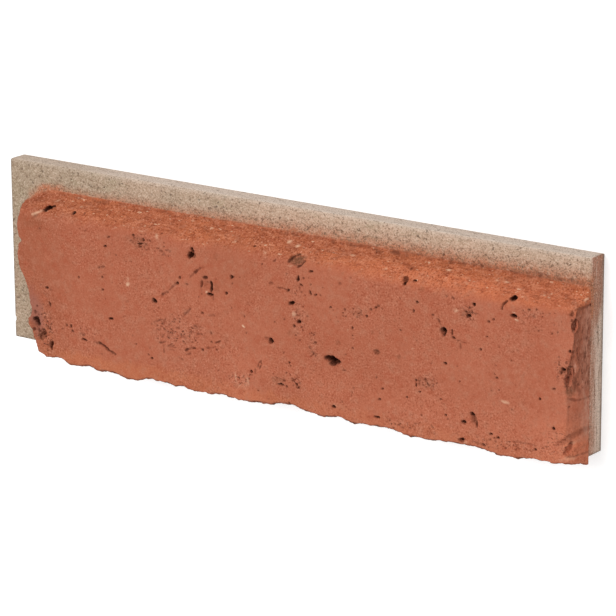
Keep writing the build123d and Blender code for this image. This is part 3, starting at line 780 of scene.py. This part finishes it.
def mark_dust_and_foot_shade(mesh, points, wander, drip):
    """Masks of the red dust that has run over the joint, and of the painted shade in the crease along the
    brick's foot.
    """
    x, y, z = points.T
    start = along_slip(DUST_PLACES, x, 1)
    reach = along_slip(DUST_PLACES, x, 2)
    dust = np.clip(1.0 - (y + 0.7 * wander + 0.4 * drip - start) / reach, 0, 1) ** 1.6
    dust = np.maximum(dust, 0.95 * spot(points, DUST_SMEAR, 0.3 * wander))
    on_joint = (z > PLATE_FRONT - 1.2) * (y > 14) * smoothstep(*DUST_ALONG, x + 1.5 * wander)
    store_mask(mesh, "dust", on_joint * dust)
    # The dark line at the brick's foot, with a fainter band on the slope just below it, is painted shade in
    # the crease between slope and joint
    height = along_slip(FOOT_PLACES, x, 1)
    dark = along_slip(FOOT_PLACES, x, 2)
    line = np.exp(-((y - height + 0.9 * wander) / (0.5 + 0.35 * dark)) ** 2)
    line = line * smoothstep(*DRIPPING, drip + 0.2)
    shaded = smoothstep(height - 4, height - 0.6, y + wander) * smoothstep(height + 0.8, height, y)
    store_mask(mesh, "foot", dark * np.maximum(line, 0.32 * shaded) * (z > PLATE_FRONT - 0.5))


def mark_plate(mesh, points, normals, streak, brick):
    """Masks of the plate's pale cast edges, its stained end, the painted shade along its edges and its
    front.
    """
    x, y, z = points.T
    rims = (smoothstep(*TOP_EDGE, y), smoothstep(*RIGHT_EDGE, x), smoothstep(*PLATE_SIDE, -normals[:, 1]),
            smoothstep(*PLATE_SIDE, -normals[:, 0]), 0.4 * smoothstep(*TOP_MARGIN, y))
    store_mask(mesh, "rim", np.maximum.reduce(rims) * (0.6 + 0.4 * smoothstep(*PALER_ALONG, x)))
    end = smoothstep(*END_FACE, x) * (z < PLATE_FRONT + 0.3)
    stain = smoothstep(*STAIN_LEVEL, z + 2.0 * streak + 5.6 * smoothstep(*STAIN_UP, y))
    store_mask(mesh, "plate_end", end)
    store_mask(mesh, "stain", end * stain)
    # Painted shade along the plate's left and lower edges and the back edge of its right end
    shaded_edges = (0.8 * smoothstep(*LEFT_EDGE, x), 0.6 * smoothstep(*LOW_EDGE, y),
             0.6 * end * smoothstep(*BACK_EDGE, z))
    store_mask(mesh, "edge_dirt", (1.0 - brick) * np.maximum.reduce(shaded_edges))
    store_mask(mesh, "front", smoothstep(*FACING_OUT, normals[:, 2]) * (z > PLATE_FRONT - 1))


class SLIP_OT_surface(bpy.types.Operator):
    """Raise the grain, the soft lumps, the dragged slope and the torn patches of the surface"""
    bl_idname = "slip.surface"
    bl_label = "Cast surface"

    def execute(self, context):
        sizes = context.scene.slip_sizes
        mesh = slip_piece().data
        everywhere = read_points(mesh)
        live = np.flatnonzero(everywhere[:, 2] > LIVE_LEVEL[0])
        points = everywhere[live]
        normals = read_normals(mesh)[live]
        brick = read_mask(mesh, "brick")[live]
        slope = read_mask(mesh, "slope")[live]
        broken = read_mask(mesh, "broken")[live]
        # The back stays flat, and the relief grows from just above it
        free = smoothstep(*LIVE_LEVEL, points[:, 2])
        grain = sizes.grain / MM * layered_noise(points, 1.2, 11, layers=2)
        lumps = sizes.swell / MM * brick * layered_noise(points, 12, 21, layers=3)
        pucker = PUCKER * brick * layered_noise(points, 3.4, 31, layers=3, fall=0.6)
        drag = DRAG * slope * layered_noise(points, (6, 1.3, 1.3), 41, layers=3)
        torn = TORN * broken * (layered_noise(points, (1.6, 4.4, 1.3), 51, layers=3, fall=0.6) - 0.35)
        side = brick * (1.0 - slope) * fade(BRICK_SIDE, normals[:, 2])
        nibble = NIBBLE * side * layered_noise(points, 2.8, 45, layers=3, fall=0.6)
        rough = np.zeros(len(points))
        ragged = 0.35 * lattice_noise(points / 3, 61)
        for x, y, length, width, strength, turn in ROUGH_PATCHES:
            reach = oval(points, x, y, length, width, turn) * (1.0 + ragged)
            rough = np.maximum(rough, strength * fade(PATCH_RIM, reach))
        rough = rough * brick
        tears = layered_noise(turned(points, 20), (2.4, 1.1, 1.7), 71, layers=3, fall=0.6)
        bites = smoothstep(0.22, 0.60, tears)
        skin = sizes.roughness / MM * rough * (0.30 * tears - 0.70 * bites)
        height = free * (grain * (0.7 + 0.5 * brick) + lumps + pucker + drag + torn + nibble + skin)
        everywhere[live] = points + normals * height[:, None]
        store_part(mesh, "rough", live, rough)
        store_part(mesh, "bite", live, rough * bites)
        write_points(mesh, keep_inside(everywhere))
        return {"FINISHED"}


class SLIP_OT_scars(bpy.types.Operator):
    """Sink the blow holes, dips, grooves and small pores, and raise the swellings"""
    bl_idname = "slip.scars"
    bl_label = "Holes and scars"

    def execute(self, context):
        sizes = context.scene.slip_sizes
        mesh = slip_piece().data
        everywhere = read_points(mesh)
        live = np.flatnonzero(everywhere[:, 2] > PLATE_FRONT - 1)
        points = everywhere[live]
        front = read_mask(mesh, "front")[live]
        brick = read_mask(mesh, "brick")[live]
        coarse = layered_noise(points, 1.5, 101, layers=2)
        fine = layered_noise(points, 0.7, 111, layers=2)
        ragged = 1.0 + 0.30 * coarse + 0.16 * fine
        depth = np.zeros(len(points))
        dark = np.zeros(len(points))
        pores = strewn_pores(sizes.pore_count, sizes.joint_pores)
        for x, y, length, width, deep, turn, gloom in BLOW_HOLES + pores:
            near = np.flatnonzero(np.hypot(points[:, 0] - x, points[:, 1] - y) < 0.8 * length + 0.8 * width)
            reach = oval(points[near], x, y, length, width, turn) * ragged[near]
            depth[near] = np.maximum(depth[near], deep * fade(HOLE_WALL, reach))
            dark[near] = np.maximum(dark[near], gloom * fade(HOLE_GLOOM, reach))
        depth *= front
        soft = np.zeros(len(points))
        brown = np.zeros(len(points))
        for x, y, length, width, deep, turn, tint in DIPS:
            reach = oval(points, x, y, length, width, turn) * ragged
            soft -= deep * fade(DIP_WALL, reach)
            brown = np.maximum(brown, tint * fade(DIP_STAIN, reach + 0.15 * fine))
        for x, y, length, width, high, turn in SWELLINGS:
            soft += high * fade(SWELLING_RIM, oval(points, x, y, length, width, turn) * ragged)
        broken_up = smoothstep(-0.5, 0.1, layered_noise(points, 1.6, 121, layers=2) + 0.15)
        for width, deep, gloom, places in GROOVES:
            reach = (path_distance(points, places) + 0.30 * coarse + 0.18 * fine) / (width / 2)
            cut = fade(GROOVE_WALL, reach) * (0.35 + 0.65 * broken_up)
            depth = np.maximum(depth, deep * cut * brick)
            dark = np.maximum(dark, gloom * cut * brick)
        points[:, 2] += brick * soft - depth
        pale = np.zeros(len(points))
        for x, y, length, width, strength, turn in PALE_MARKS:
            reach = oval(points, x, y, length, width, turn) * (1.0 + 0.5 * coarse + 0.3 * fine)
            pale = np.maximum(pale, strength * fade(MARK_RIM, reach))
        everywhere[live] = points
        # The dark of the holes, grooves, pores and bites is painted shade
        store_part(mesh, "hollow", live, np.maximum(dark, 0.30 * read_mask(mesh, "bite")[live]))
        store_part(mesh, "brown", live, brown * brick)
        store_part(mesh, "pale", live, pale * (1.0 - dark))
        write_points(mesh, keep_inside(everywhere))
        return {"FINISHED"}


def strewn_pores(face_count, joint_count):
    """Small pores strewn and clustered over the brick and the joint, always in the same places."""
    dice = np.random.default_rng(7)
    pores = []

    def add_pore(x, y, least):
        width = dice.uniform(least, PORE_MOST)
        pores.append((x, y, width * dice.uniform(1, 1.8), width, dice.uniform(0.3, 0.7),
                      dice.uniform(-30, 60), PORE_GLOOM * dice.uniform(0.5, 1)))

    def strew(count, left, right, bottom, top):
        for _ in range(count):
            add_pore(dice.uniform(left, right), dice.uniform(bottom, top), PORE_LEAST)

    strew(face_count, LEFT_END + 14, RIGHT_END - 3, PLATE_BOTTOM - 1, 22)
    strew(joint_count, LEFT_END + 1, RIGHT_END - 1, BRICK_TOP + 0.4, PLATE_TOP - 0.8)
    for x, y, length, width, count in PORE_CLUSTERS:
        for _ in range(count):
            angle = dice.uniform(0, 2 * math.pi)
            reach = math.sqrt(dice.uniform(0, 1)) / 2
            add_pore(x + reach * length * math.cos(angle), y + reach * width * math.sin(angle),
                     CLUSTER_LEAST)
    return tuple(pores)


class SLIP_OT_finish(bpy.types.Operator):
    """Thin the plain parts of the mesh, and give the slip its weathered red and grey concrete"""
    bl_idname = "slip.finish"
    bl_label = "Weathered concrete"

    def execute(self, context):
        piece = slip_piece()
        triangles = sum(len(face.vertices) - 2 for face in piece.data.polygons)
        select_only(piece)
        thin = piece.modifiers.new("thin", "DECIMATE")
        thin.ratio = context.scene.slip_sizes.triangles / triangles
        bpy.ops.object.modifier_apply(modifier=thin.name)
        write_points(piece.data, keep_inside(read_points(piece.data)))
        piece.data.materials.clear()
        piece.data.materials.append(cast_concrete(context.scene.slip_colours))
        bpy.ops.object.shade_smooth_by_angle(angle=math.radians(70))
        return {"FINISHED"}


class Graph:
    """Adds and joins nodes, in the order in which the finish is built up."""

    def __init__(self, tree):
        self.tree = tree
        self.made = {}

    def add(self, kind, **settings):
        node = self.tree.nodes.new(kind)
        for name, value in settings.items():
            setattr(node, name, value)
        return node

    def feed(self, socket, source):
        if isinstance(source, bpy.types.NodeSocket):
            self.tree.links.new(source, socket)
        elif hasattr(source, "__len__"):
            socket.default_value = tuple(source) + (1,) * (4 - len(source))
        else:
            socket.default_value = source

    def share(self, name):
        """What was made under this name before, or the noise of that name, or the mesh's mask."""
        if name not in self.made and name in NOISES:
            self.made[name] = self.noise(*NOISES[name])
        elif name not in self.made:
            self.made[name] = self.add("ShaderNodeAttribute", attribute_name=name).outputs["Fac"]
        return self.made[name]

    def noise(self, scale, detail, roughness):
        """Noise over the slip, stretched where its scale has three parts."""
        vector = self.made["place"]
        if isinstance(scale, tuple):
            stretch = self.add("ShaderNodeMapping")
            self.feed(stretch.inputs["Vector"], vector)
            stretch.inputs["Scale"].default_value = scale
            vector = stretch.outputs["Vector"]
            scale = 1.0
        node = self.add("ShaderNodeTexNoise")
        self.feed(node.inputs["Vector"], vector)
        node.inputs["Scale"].default_value = scale
        node.inputs["Detail"].default_value = detail
        node.inputs["Roughness"].default_value = roughness
        return node.outputs["Fac"]

    def ramp(self, source, low, high, bottom=0, top=1):
        node = self.add("ShaderNodeMapRange", interpolation_type="SMOOTHSTEP")
        self.feed(node.inputs["Value"], source)
        node.inputs["From Min"].default_value = low
        node.inputs["From Max"].default_value = high
        node.inputs["To Min"].default_value = bottom
        node.inputs["To Max"].default_value = top
        return node.outputs["Result"]

    def math(self, operation, first, second=0):
        node = self.add("ShaderNodeMath", operation=operation)
        self.feed(node.inputs[0], first)
        self.feed(node.inputs[1], second)
        return node.outputs[0]

    def mix(self, share, first, second):
        node = self.add("ShaderNodeMix", data_type="RGBA")
        self.feed(node.inputs[0], share)
        self.feed(node.inputs[6], first)
        self.feed(node.inputs[7], second)
        return node.outputs[2]

    def lay(self, colour, layers, colours):
        """Lay layers over a colour, each as strong as its mask times the ramp of its noise."""
        for tint, mask, *ramp in layers:
            if isinstance(tint, str):
                tint = getattr(colours, tint)
            if not ramp:
                strength = self.share(mask)
            else:
                noise, *ends = ramp
                strength = self.ramp(self.share(noise), *ends)
                if mask:
                    strength = self.math("MULTIPLY", strength, self.share(mask))
            colour = self.mix(strength, colour, tint)
        return colour


def red_skin(graph, colours):
    """Red of the brick: lighter to the right, with painted shade and painted light, dust, grit, streaks and
    broken parts.
    """
    face = graph.mix(graph.ramp(graph.share("along"), 0.02, 0.11), colours.face, colours.face_right)
    # Grit is weaker where the skin is smooth, and cracks run only where it is rough
    calm = graph.ramp(graph.share("calm"), 0.40, 0.60, 0.45, 1)
    coarse = graph.math("ADD", calm, graph.math("MULTIPLY", graph.share("slope"), 0.75))
    graph.made["coarse"] = graph.math("MAXIMUM", coarse, graph.share("broken"))
    graph.made["crack lines"] = graph.math("ABSOLUTE", graph.math("SUBTRACT", graph.share("cracks"), 0.5))
    gritty = graph.ramp(graph.share("grit"), 0.60, 0.48)
    graph.made["cracked"] = graph.math("MULTIPLY", gritty, graph.share("rough"))
    return graph.lay(face, RED_LAYERS, colours)


def grey_joint(graph, colours):
    """Grey of the joint and the plate: warmer to the right, with pale edges, dust and sand."""
    warm = graph.math("ADD", graph.ramp(graph.share("along"), -0.125, 0.05, 0, 0.85),
                      graph.ramp(graph.share("tone"), 0.40, 0.62, -0.12, 0.25))
    grey = graph.mix(warm, colours.joint_left, colours.joint_right)
    graph.made["pale end"] = graph.math("MULTIPLY", graph.share("plate_end"), 0.5)
    graph.made["sparse"] = graph.ramp(graph.share("clusters"), 0.42, 0.58)
    # Dark sand shows more where the red dust lies, and light sand less
    graph.made["dusted"] = graph.ramp(graph.share("dust"), 0, 0.30, 1.12, 1.9)
    graph.made["clean"] = graph.ramp(graph.share("dust"), 0, 0.40, 1, 0.55)
    return graph.lay(grey, GREY_LAYERS, colours)


def cast_concrete(colours):
    """The whole finish: the red brick and the grey joint, with scars over both, and painted shade in the
    holes, under the brick and along its foot.
    """
    material = bpy.data.materials.new("cast_concrete")
    material.use_nodes = True
    tree = material.node_tree
    graph = Graph(tree)
    graph.made["place"] = graph.add("ShaderNodeTexCoord").outputs["Object"]
    parts = graph.add("ShaderNodeSeparateXYZ")
    graph.feed(parts.inputs[0], graph.made["place"])
    graph.made["along"] = parts.outputs["X"]

    grey = grey_joint(graph, colours)
    colour = graph.mix(graph.share("brick"), grey, red_skin(graph, colours))
    colour = graph.lay(colour, SCAR_LAYERS, colours)

    shader = tree.nodes["Principled BSDF"]
    tree.links.new(colour, shader.inputs["Base Color"])
    shader.inputs["Roughness"].default_value = 0.92
    shader.inputs["Specular IOR Level"].default_value = 0.12

    bump = graph.add("ShaderNodeBump")
    bump.inputs["Strength"].default_value = 0.5
    bump.inputs["Distance"].default_value = 0.22 * MM
    specks = graph.math("MULTIPLY", graph.ramp(graph.share("pits"), 0.36, 0.29), graph.share("sparse"))
    graph.feed(bump.inputs["Height"], graph.math("SUBTRACT", graph.share("fine grit"), specks))
    tree.links.new(bump.outputs["Normal"], shader.inputs["Normal"])
    return material


class SLIP_OT_stage(bpy.types.Operator):
    """Lay the slip on a pale floor, light it softly and set the camera"""
    bl_idname = "slip.stage"
    bl_label = "Stage"

    def execute(self, context):
        stage = context.scene.slip_stage
        make_floor(stage)
        make_lamps(stage)
        aim_camera(stage)
        context.scene.view_settings.view_transform = "Standard"
        return {"FINISHED"}


def make_floor(stage):
    bpy.ops.object.select_all(action="DESELECT")
    bpy.ops.mesh.primitive_plane_add(size=FLOOR_SIZE, location=(0, 0, LOW[2]))
    floor = bpy.context.object
    floor.name = "floor"
    material = bpy.data.materials.new("pale_floor")
    material.use_nodes = True
    graph = Graph(material.node_tree)
    shader = material.node_tree.nodes["Principled BSDF"]
    shader.inputs["Base Color"].default_value = (0.8, 0.8, 0.8, 1)
    shader.inputs["Roughness"].default_value = 1.0
    seen = graph.add("ShaderNodeLightPath").outputs["Is Camera Ray"]
    shader.inputs["Emission Color"].default_value = (1, 1, 1, 1)
    graph.feed(shader.inputs["Emission Strength"], graph.math("MULTIPLY", seen, stage.floor_glow))
    floor.data.materials.append(material)


def make_lamps(stage):
    world = bpy.data.worlds.new("studio")
    bpy.context.scene.world = world
    world.use_nodes = True
    background = world.node_tree.nodes["Background"]
    background.inputs["Color"].default_value = (1, 1, 1, 1)
    background.inputs["Strength"].default_value = stage.sky
    key = bpy.data.lights.new("key", "AREA")
    key.size = LAMP_SIZE
    key.energy = stage.key
    lamp = bpy.data.objects.new("key", key)
    lamp.location = LAMP_PLACE
    lamp.rotation_euler = (-lamp.location).to_track_quat("-Z", "Y").to_euler()
    bpy.context.scene.collection.objects.link(lamp)


def aim_camera(stage):
    """The camera is solved for the slip standing up, then laid down with it."""
    sin_yaw, cos_yaw = math.sin(stage.yaw), math.cos(stage.yaw)
    sin_pitch, cos_pitch = math.sin(stage.pitch), math.cos(stage.pitch)
    forward = Vector((-sin_yaw * cos_pitch, cos_yaw * cos_pitch, -sin_pitch))
    level_right = Vector((cos_yaw, sin_yaw, 0))
    level_down = forward.cross(level_right)
    sin_roll, cos_roll = math.sin(stage.roll), math.cos(stage.roll)
    right = cos_roll * level_right + sin_roll * level_down
    down = -sin_roll * level_right + cos_roll * level_down
    eye = -(stage.aim_right * right + stage.aim_down * down + stage.distance * forward)

    def laid(vector):
        return Vector((vector.x, vector.z, -vector.y))

    camera = bpy.data.objects.new("camera", bpy.data.cameras.new("camera"))
    camera.data.sensor_width = 36
    camera.data.lens = stage.lens
    turn = Matrix((laid(right), -laid(down), -laid(forward))).transposed()
    front = Vector((0, 0, PLATE_FRONT * MM))
    camera.matrix_world = Matrix.Translation(laid(eye) + front) @ turn.to_4x4()
    bpy.context.scene.collection.objects.link(camera)
    bpy.context.scene.camera = camera


class SLIP_PT_panel(bpy.types.Panel):
    """Sizes, colours and steps of the brick slip"""
    bl_idname = "SLIP_PT_panel"
    bl_label = "Brick slip"
    bl_space_type = "VIEW_3D"
    bl_region_type = "UI"
    bl_category = "Brick slip"

    def draw(self, context):
        for group in ("slip_sizes", "slip_colours", "slip_stage"):
            settings = getattr(context.scene, group)
            box = self.layout.box()
            for name in settings.bl_rna.properties.keys():
                if name not in ("rna_type", "name"):
                    box.prop(settings, name)
        for step in STEPS:
            self.layout.operator(step.bl_idname)


STEPS = (SLIP_OT_body, SLIP_OT_surface, SLIP_OT_scars, SLIP_OT_finish, SLIP_OT_stage)
GROUPS = (SlipSizes, SlipColours, StageSettings)


def register():
    for cls in GROUPS + STEPS + (SLIP_PT_panel,):
        bpy.utils.register_class(cls)
    bpy.types.Scene.slip_sizes = PointerProperty(type=SlipSizes)
    bpy.types.Scene.slip_colours = PointerProperty(type=SlipColours)
    bpy.types.Scene.slip_stage = PointerProperty(type=StageSettings)


def unregister():
    del bpy.types.Scene.slip_sizes
    del bpy.types.Scene.slip_colours
    del bpy.types.Scene.slip_stage
    for cls in reversed(GROUPS + STEPS + (SLIP_PT_panel,)):
        bpy.utils.unregister_class(cls)


def main():
    register()
    bpy.ops.slip.body()
    bpy.ops.slip.surface()
    bpy.ops.slip.scars()
    bpy.ops.slip.finish()
    bpy.ops.slip.stage()
    print("triangles", sum(len(face.vertices) - 2 for face in slip_piece().data.polygons))


if __name__ == "__main__":
    main()
